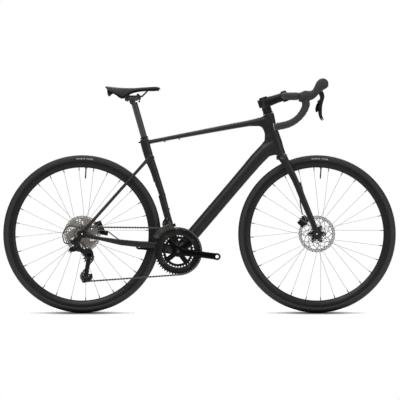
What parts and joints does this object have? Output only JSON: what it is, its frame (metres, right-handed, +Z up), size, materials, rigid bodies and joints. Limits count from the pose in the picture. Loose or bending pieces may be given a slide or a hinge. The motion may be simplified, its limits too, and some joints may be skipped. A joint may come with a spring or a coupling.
{
  "type": "road bicycle",
  "caption": "Black endurance road bicycle with drop bars, hydraulic disc brakes and a double chainset, no pedals fitted.",
  "frame": {"origin": "on the ground, midway between the two axles, in the bike's middle plane", "axes": "+X forward along the bike, +Y to the rider's left, +Z up; the drive side faces -Y"},
  "size_m": [1.6979, 0.4452, 1.0117],
  "materials": {
    "frame_paint": "satin",
    "black_alloy": "satin",
    "bearing_steel": "satin",
    "pad_metal": "matte",
    "bolt_steel": "satin",
    "gloss_black": "gloss",
    "hose_black": "satin",
    "chain_steel": "satin",
    "rail_steel": "satin",
    "shell_plastic": "matte",
    "saddle_cover": "satin",
    "bar_tape": "matte",
    "plug_plastic": "matte",
    "hood_rubber": "matte",
    "tyre_rubber": "matte",
    "rim_black": "satin",
    "spoke_steel": "satin",
    "rotor_steel": "satin",
    "valve_brass": "satin",
    "cassette_steel": "satin",
    "ring_alloy": "satin",
    "cage_steel": "satin",
    "cage_black": "satin",
    "pulley_plastic": "matte"
  },
  "bodies": {
    "frame": {"frame": "frame_paint", "derailleur_hanger": "black_alloy", "seat_clamp": "black_alloy", "frame_bearings": "bearing_steel", "rear_thru_axle": "black_alloy", "rear_brake_caliper": "black_alloy", "rear_brake_pads": "pad_metal", "bottle_bolts": "bolt_steel", "front_derailleur_bracket": "black_alloy", "rear_derailleur_knuckle": "gloss_black", "shift_housing": "hose_black", "rear_brake_hose": "hose_black", "chain": "chain_steel"},
    "seat": {"seatpost": "frame_paint", "saddle_clamp": "black_alloy", "saddle_rails": "rail_steel", "saddle_shell": "shell_plastic", "saddle_cover": "saddle_cover"},
    "steering": {"fork": "frame_paint", "stem": "black_alloy", "stem_faceplate": "black_alloy", "headset_spacers": "black_alloy", "stem_bolts": "bolt_steel", "handlebar": "black_alloy", "bar_tape": "bar_tape", "bar_end_plugs": "plug_plastic", "brake_hood_right": "hood_rubber", "brake_hood_left": "hood_rubber", "front_thru_axle": "black_alloy", "front_brake_caliper": "black_alloy", "front_brake_pads": "pad_metal", "front_brake_hose": "hose_black"},
    "right_lever": {"brake_lever_right": "black_alloy"},
    "left_lever": {"brake_lever_left": "black_alloy"},
    "right_paddle": {"shift_paddle_right": "gloss_black"},
    "left_paddle": {"shift_paddle_left": "gloss_black"},
    "front_wheel": {"front_tyre": "tyre_rubber", "front_rim": "rim_black", "front_hub": "black_alloy", "front_spokes": "spoke_steel", "front_rotor": "rotor_steel", "front_valve": "valve_brass"},
    "rear_wheel": {"rear_tyre": "tyre_rubber", "rear_rim": "rim_black", "rear_hub": "black_alloy", "rear_spokes": "spoke_steel", "rear_rotor": "rotor_steel", "rear_valve": "valve_brass"},
    "sprockets": {"cassette": "cassette_steel"},
    "cranks": {"crank_right": "gloss_black", "crank_spider": "gloss_black", "crank_left": "gloss_black", "chainring_outer": "ring_alloy", "chainring_inner": "ring_alloy"},
    "front_mech": {"front_derailleur_cage": "cage_steel"},
    "rear_link": {"rear_derailleur_link": "gloss_black"},
    "rear_hub_knuckle": {"rear_derailleur_hub": "gloss_black"},
    "rear_cage": {"rear_derailleur_cage": "cage_black"},
    "guide_wheel": {"guide_pulley": "pulley_plastic"},
    "tension_wheel": {"tension_pulley": "pulley_plastic"}
  },
  "joints": [
    {"name": "steering_turn", "type": "hinge", "parent": "frame", "child": "steering", "pos_m": [0.3255, 0, 0.77017], "axis": [-0.3007, 0, 0.9537], "range_deg": [-60, 60]},
    {"name": "front_wheel_spin", "type": "hinge", "parent": "steering", "child": "front_wheel", "pos_m": [0.508, 0, 0.341], "axis": [0, 1, 0], "continuous": true},
    {"name": "rear_wheel_spin", "type": "hinge", "parent": "frame", "child": "rear_wheel", "pos_m": [-0.508, 0, 0.341], "axis": [0, 1, 0], "continuous": true},
    {"name": "crank_spin", "type": "hinge", "parent": "frame", "child": "cranks", "pos_m": [-0.0925, 0, 0.266], "axis": [0, 1, 0], "continuous": true, "deforming": ["chain"]},
    {"name": "sprocket_spin", "type": "hinge", "parent": "frame", "child": "sprockets", "pos_m": [-0.508, 0, 0.341], "axis": [0, 1, 0], "continuous": true},
    {"name": "guide_spin", "type": "hinge", "parent": "rear_cage", "child": "guide_wheel", "pos_m": [-0.48, -0.0522, 0.2394], "axis": [0, 1, 0], "continuous": true},
    {"name": "tension_spin", "type": "hinge", "parent": "rear_cage", "child": "tension_wheel", "pos_m": [-0.49081, -0.0522, 0.15844], "axis": [0, 1, 0], "continuous": true},
    {"name": "seatpost_slide", "type": "slide", "parent": "frame", "child": "seat", "axis": [-0.2756, 0, 0.9613], "range_m": [-0.04, 0.05]},
    {"name": "right_brake_pull", "type": "hinge", "parent": "steering", "child": "right_lever", "pos_m": [0.5235, -0.205, 0.955], "axis": [0, 1, 0], "range_deg": [0, 14], "stiffness_Nm_per_rad": 0.8, "springref_deg": -11.46},
    {"name": "left_brake_pull", "type": "hinge", "parent": "steering", "child": "left_lever", "pos_m": [0.5235, 0.205, 0.955], "axis": [0, 1, 0], "range_deg": [0, 14], "stiffness_Nm_per_rad": 0.8, "springref_deg": -11.46},
    {"name": "right_shift_push", "type": "hinge", "parent": "right_lever", "child": "right_paddle", "pos_m": [0.5156, -0.205, 0.911], "axis": [0, 0, 1], "range_deg": [-9, 0], "stiffness_Nm_per_rad": 0.3, "springref_deg": 5.73},
    {"name": "left_shift_push", "type": "hinge", "parent": "left_lever", "child": "left_paddle", "pos_m": [0.5156, 0.205, 0.911], "axis": [0, 0, 1], "range_deg": [0, 9], "stiffness_Nm_per_rad": 0.3, "springref_deg": -5.73},
    {"name": "front_shift_swing", "type": "hinge", "parent": "frame", "child": "front_mech", "pos_m": [-0.14, -0.0315, 0.384], "axis": [1, 0, 0], "range_deg": [0, 7]},
    {"name": "rear_shift_swing", "type": "hinge", "parent": "frame", "child": "rear_link", "pos_m": [-0.524, -0.067, 0.283], "axis": [0.6, 0, 0.8], "range_deg": [-16, 32]},
    {"name": "rear_shift_level", "type": "hinge", "parent": "rear_link", "child": "rear_hub_knuckle", "pos_m": [-0.4936, -0.067, 0.2602], "axis": [0.6, 0, 0.8], "range_deg": [-32, 16]},
    {"name": "cage_swing", "type": "hinge", "parent": "rear_hub_knuckle", "child": "rear_cage", "pos_m": [-0.4757, -0.0522, 0.2502], "axis": [0, 1, 0], "range_deg": [-45, 10], "stiffness_Nm_per_rad": 0.6, "springref_deg": 20.05}
  ],
  "couplings": [
    {"joint": "sprocket_spin", "follows": "crank_spin", "ratio": 3.3333},
    {"joint": "guide_spin", "follows": "crank_spin", "ratio": -4.5455},
    {"joint": "tension_spin", "follows": "crank_spin", "ratio": 4.5455},
    {"joint": "rear_shift_level", "follows": "rear_shift_swing", "ratio": -1}
  ]
}
